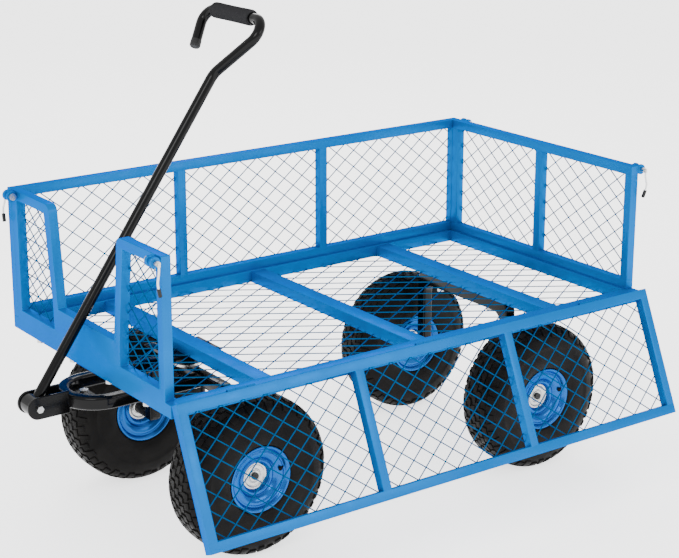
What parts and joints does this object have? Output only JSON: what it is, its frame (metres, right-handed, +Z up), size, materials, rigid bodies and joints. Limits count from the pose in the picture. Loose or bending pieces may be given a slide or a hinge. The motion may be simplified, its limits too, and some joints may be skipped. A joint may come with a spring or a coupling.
{
  "type": "garden cart",
  "caption": "Four-wheeled mesh garden cart with a steered front axle, pull handle, drop-down side and rear fences and corner latch pins.",
  "frame": {"origin": "on the ground, under the middle of the cart's footprint with the handle laid back and the left side folded down", "axes": "+X to the rear along the bed, +Y to the cart's right (the upright side), +Z up"},
  "size_m": [1.0797, 0.6224, 0.8253],
  "materials": {
    "blue_paint": "satin powder coat",
    "blue_wire": "satin powder coat on woven wire",
    "rim_blue": "gloss paint",
    "black_gloss": "gloss black paint",
    "zinc": "bright zinc plating",
    "dark_steel": "oiled steel",
    "tyre_rubber": "matt black rubber",
    "tube_rubber": "black butyl rubber",
    "grip_foam": "dark grey foam",
    "black_plastic": "moulded",
    "cord_white": "coated wire cord"
  },
  "bodies": {
    "bed": {"bed_frame": "blue_paint", "floor_mesh": "blue_wire", "front_fence_frame": "blue_paint", "front_fence_mesh": "blue_wire", "front_fence_bolts": "zinc", "kingpin_bracket": "black_gloss", "kingpin": "dark_steel", "kingpin_nut": "zinc", "rear_axle_frame": "black_gloss", "rear_axle_bolts": "zinc", "rear_axle_stubs": "dark_steel", "rear_axle_clips": "zinc", "left_hinge_pins": "dark_steel", "right_hinge_pins": "dark_steel", "rear_hinge_pins": "dark_steel"},
    "steering": {"steering_yoke": "black_gloss", "thrust_washers": "zinc", "yoke_web_bolt": "zinc", "handle_pivot_bolt": "zinc", "handle_pivot_nut": "zinc", "front_axle_stubs": "dark_steel", "front_axle_clips": "zinc"},
    "handle": {"handle_tube": "black_gloss", "handle_grip": "grip_foam", "handle_end_cap": "black_plastic"},
    "left_side": {"left_side_frame": "blue_paint", "left_side_mesh": "blue_wire"},
    "right_side": {"right_side_frame": "blue_paint", "right_side_mesh": "blue_wire"},
    "rear_gate": {"rear_gate_frame": "blue_paint", "rear_gate_mesh": "blue_wire"},
    "front_left_wheel": {"front_left_tyre": "tyre_rubber", "front_left_rim": "rim_blue", "front_left_hub_bearing": "zinc", "front_left_inner_tube": "tube_rubber"},
    "front_right_wheel": {"front_right_tyre": "tyre_rubber", "front_right_rim": "rim_blue", "front_right_hub_bearing": "zinc", "front_right_inner_tube": "tube_rubber"},
    "rear_left_wheel": {"rear_left_tyre": "tyre_rubber", "rear_left_rim": "rim_blue", "rear_left_hub_bearing": "zinc", "rear_left_inner_tube": "tube_rubber"},
    "rear_right_wheel": {"rear_right_tyre": "tyre_rubber", "rear_right_rim": "rim_blue", "rear_right_hub_bearing": "zinc", "rear_right_inner_tube": "tube_rubber"},
    "front_left_latch": {"front_left_latch_pin": "zinc", "front_left_lanyard": "cord_white", "front_left_lanyard_tip": "black_plastic"},
    "front_right_latch": {"front_right_latch_pin": "zinc", "front_right_lanyard": "cord_white", "front_right_lanyard_tip": "black_plastic"},
    "rear_left_latch": {"rear_left_latch_pin": "zinc", "rear_left_lanyard": "cord_white", "rear_left_lanyard_tip": "black_plastic"},
    "rear_right_latch": {"rear_right_latch_pin": "zinc", "rear_right_lanyard": "cord_white", "rear_right_lanyard_tip": "black_plastic"}
  },
  "joints": [
    {"name": "steering_turn", "type": "hinge", "parent": "bed", "child": "steering", "pos_m": [-0.24738, 0.04938, 0.258], "axis": [0, 0, 1], "range_deg": [-11, 11]},
    {"name": "handle_pitch", "type": "hinge", "parent": "steering", "child": "handle", "pos_m": [-0.52187, 0.04938, 0.247], "axis": [0, -1, 0], "range_deg": [0, 140]},
    {"name": "left_side_fold", "type": "hinge", "parent": "bed", "child": "left_side", "pos_m": [0.04763, -0.20892, 0.3063], "axis": [-1, 0, 0], "range_deg": [0, 156.7]},
    {"name": "right_side_fold", "type": "hinge", "parent": "bed", "child": "right_side", "pos_m": [0.04763, 0.30768, 0.3063], "axis": [-1, 0, 0], "range_deg": [0, 156.7]},
    {"name": "rear_gate_fold", "type": "hinge", "parent": "bed", "child": "rear_gate", "pos_m": [0.52292, 0.04938, 0.3063], "axis": [0, 1, 0], "range_deg": [0, 156.7]},
    {"name": "front_left_wheel_spin", "type": "hinge", "parent": "steering", "child": "front_left_wheel", "pos_m": [-0.24738, -0.13062, 0.13], "axis": [0, 1, 0], "continuous": true},
    {"name": "front_right_wheel_spin", "type": "hinge", "parent": "steering", "child": "front_right_wheel", "pos_m": [-0.24738, 0.22938, 0.13], "axis": [0, 1, 0], "continuous": true},
    {"name": "rear_left_wheel_spin", "type": "hinge", "parent": "bed", "child": "rear_left_wheel", "pos_m": [0.34263, -0.13062, 0.13], "axis": [0, 1, 0], "continuous": true},
    {"name": "rear_right_wheel_spin", "type": "hinge", "parent": "bed", "child": "rear_right_wheel", "pos_m": [0.34263, 0.22938, 0.13], "axis": [0, 1, 0], "continuous": true},
    {"name": "front_left_latch_slide", "type": "slide", "parent": "bed", "child": "front_left_latch", "axis": [0, 1, 0], "range_m": [0, 0.0075]},
    {"name": "front_right_latch_slide", "type": "slide", "parent": "bed", "child": "front_right_latch", "axis": [0, -1, 0], "range_m": [0, 0.0075]},
    {"name": "rear_left_latch_slide", "type": "slide", "parent": "rear_gate", "child": "rear_left_latch", "axis": [0, 1, 0], "range_m": [0, 0.0075]},
    {"name": "rear_right_latch_slide", "type": "slide", "parent": "rear_gate", "child": "rear_right_latch", "axis": [0, -1, 0], "range_m": [0, 0.0075]}
  ]
}
